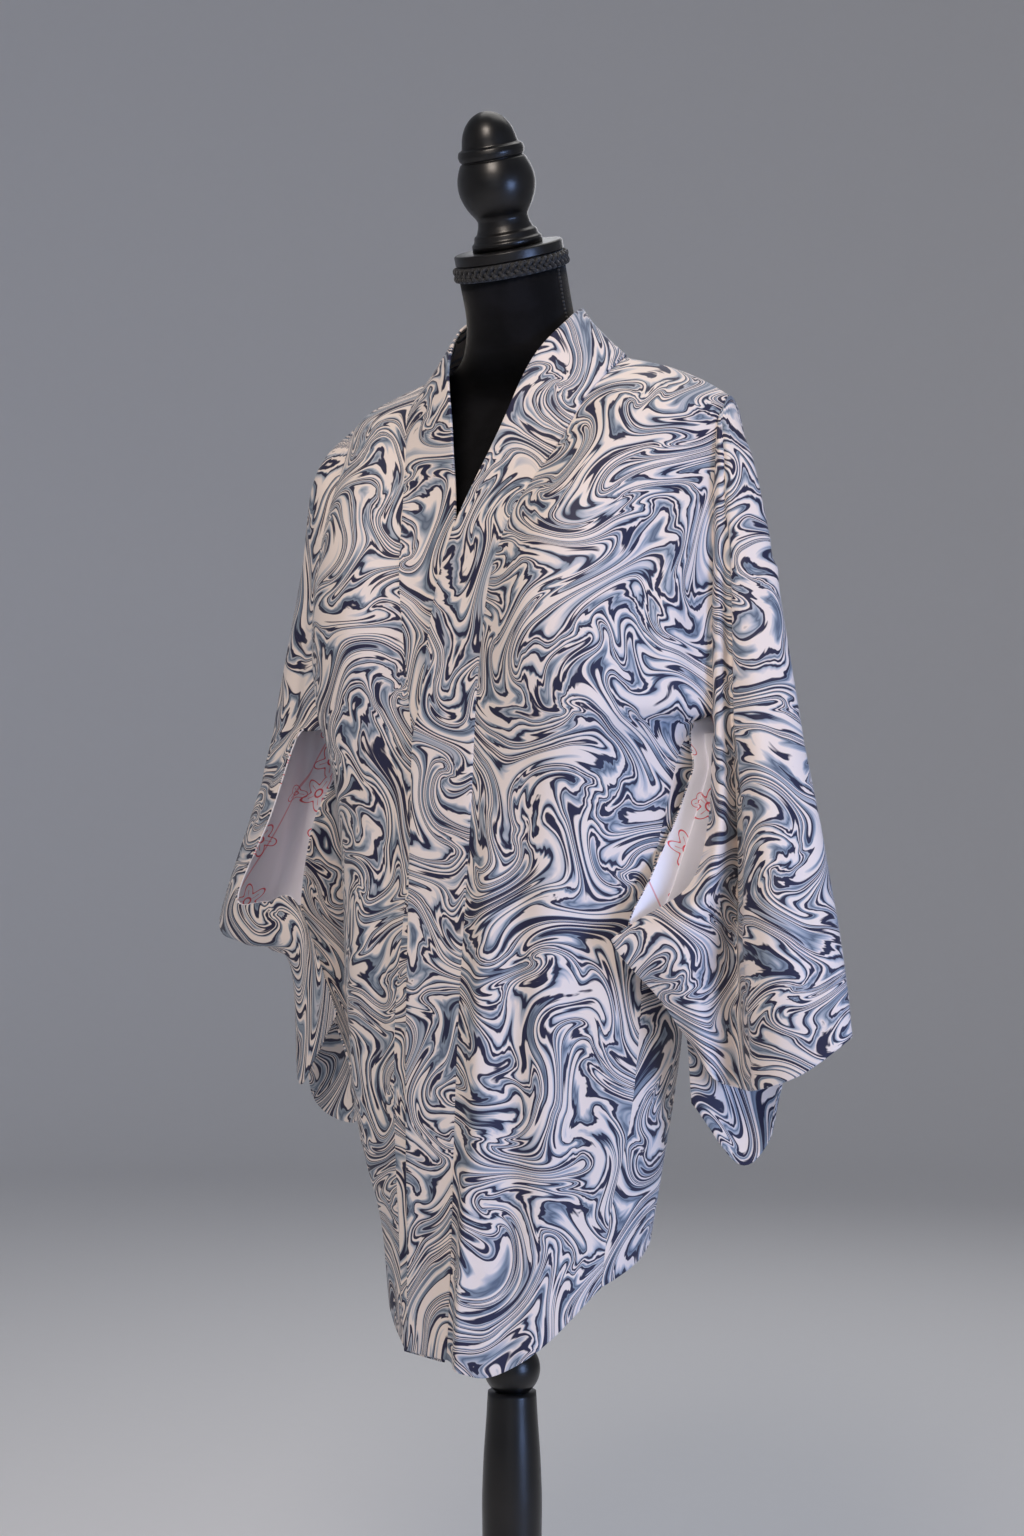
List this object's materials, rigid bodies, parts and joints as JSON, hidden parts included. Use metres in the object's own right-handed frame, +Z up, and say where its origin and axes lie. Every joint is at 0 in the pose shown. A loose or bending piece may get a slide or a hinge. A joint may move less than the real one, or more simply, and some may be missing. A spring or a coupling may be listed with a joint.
{
  "type": "haori jacket on a dress form",
  "caption": "Short open-sided kimono jacket with a folded collar band and bag sleeves, worn on a limbless velvet dress form with a turned finial, post and round foot.",
  "frame": {"origin": "middle of the round foot's underside, on the floor", "axes": "+Z up, -Y the jacket's front, +X the wearer's left"},
  "size_m": [0.7002, 0.35, 1.6127],
  "materials": {
    "haori_cloth": "soft silk, ivory with a navy and slate marbled print",
    "sleeve_lining": "smooth pale silk with fine red outline flowers",
    "black_velvet": "short-pile velvet",
    "black_braid": "matt plaited cord",
    "black_wood": "satin black paint"
  },
  "bodies": {
    "root": {"body_left": "haori_cloth", "body_right": "haori_cloth", "collar": "haori_cloth", "gusset_left": "haori_cloth", "gusset_right": "haori_cloth", "sleeve_left": "haori_cloth", "sleeve_right": "haori_cloth", "sleeve_lining_left": "sleeve_lining", "sleeve_lining_right": "sleeve_lining", "torso": "black_velvet", "neck_braid": "black_braid", "neck_cap": "black_wood", "finial": "black_wood", "post": "black_wood", "ball": "black_wood", "column": "black_wood", "boss": "black_wood", "foot": "black_wood"}
  },
  "joints": []
}
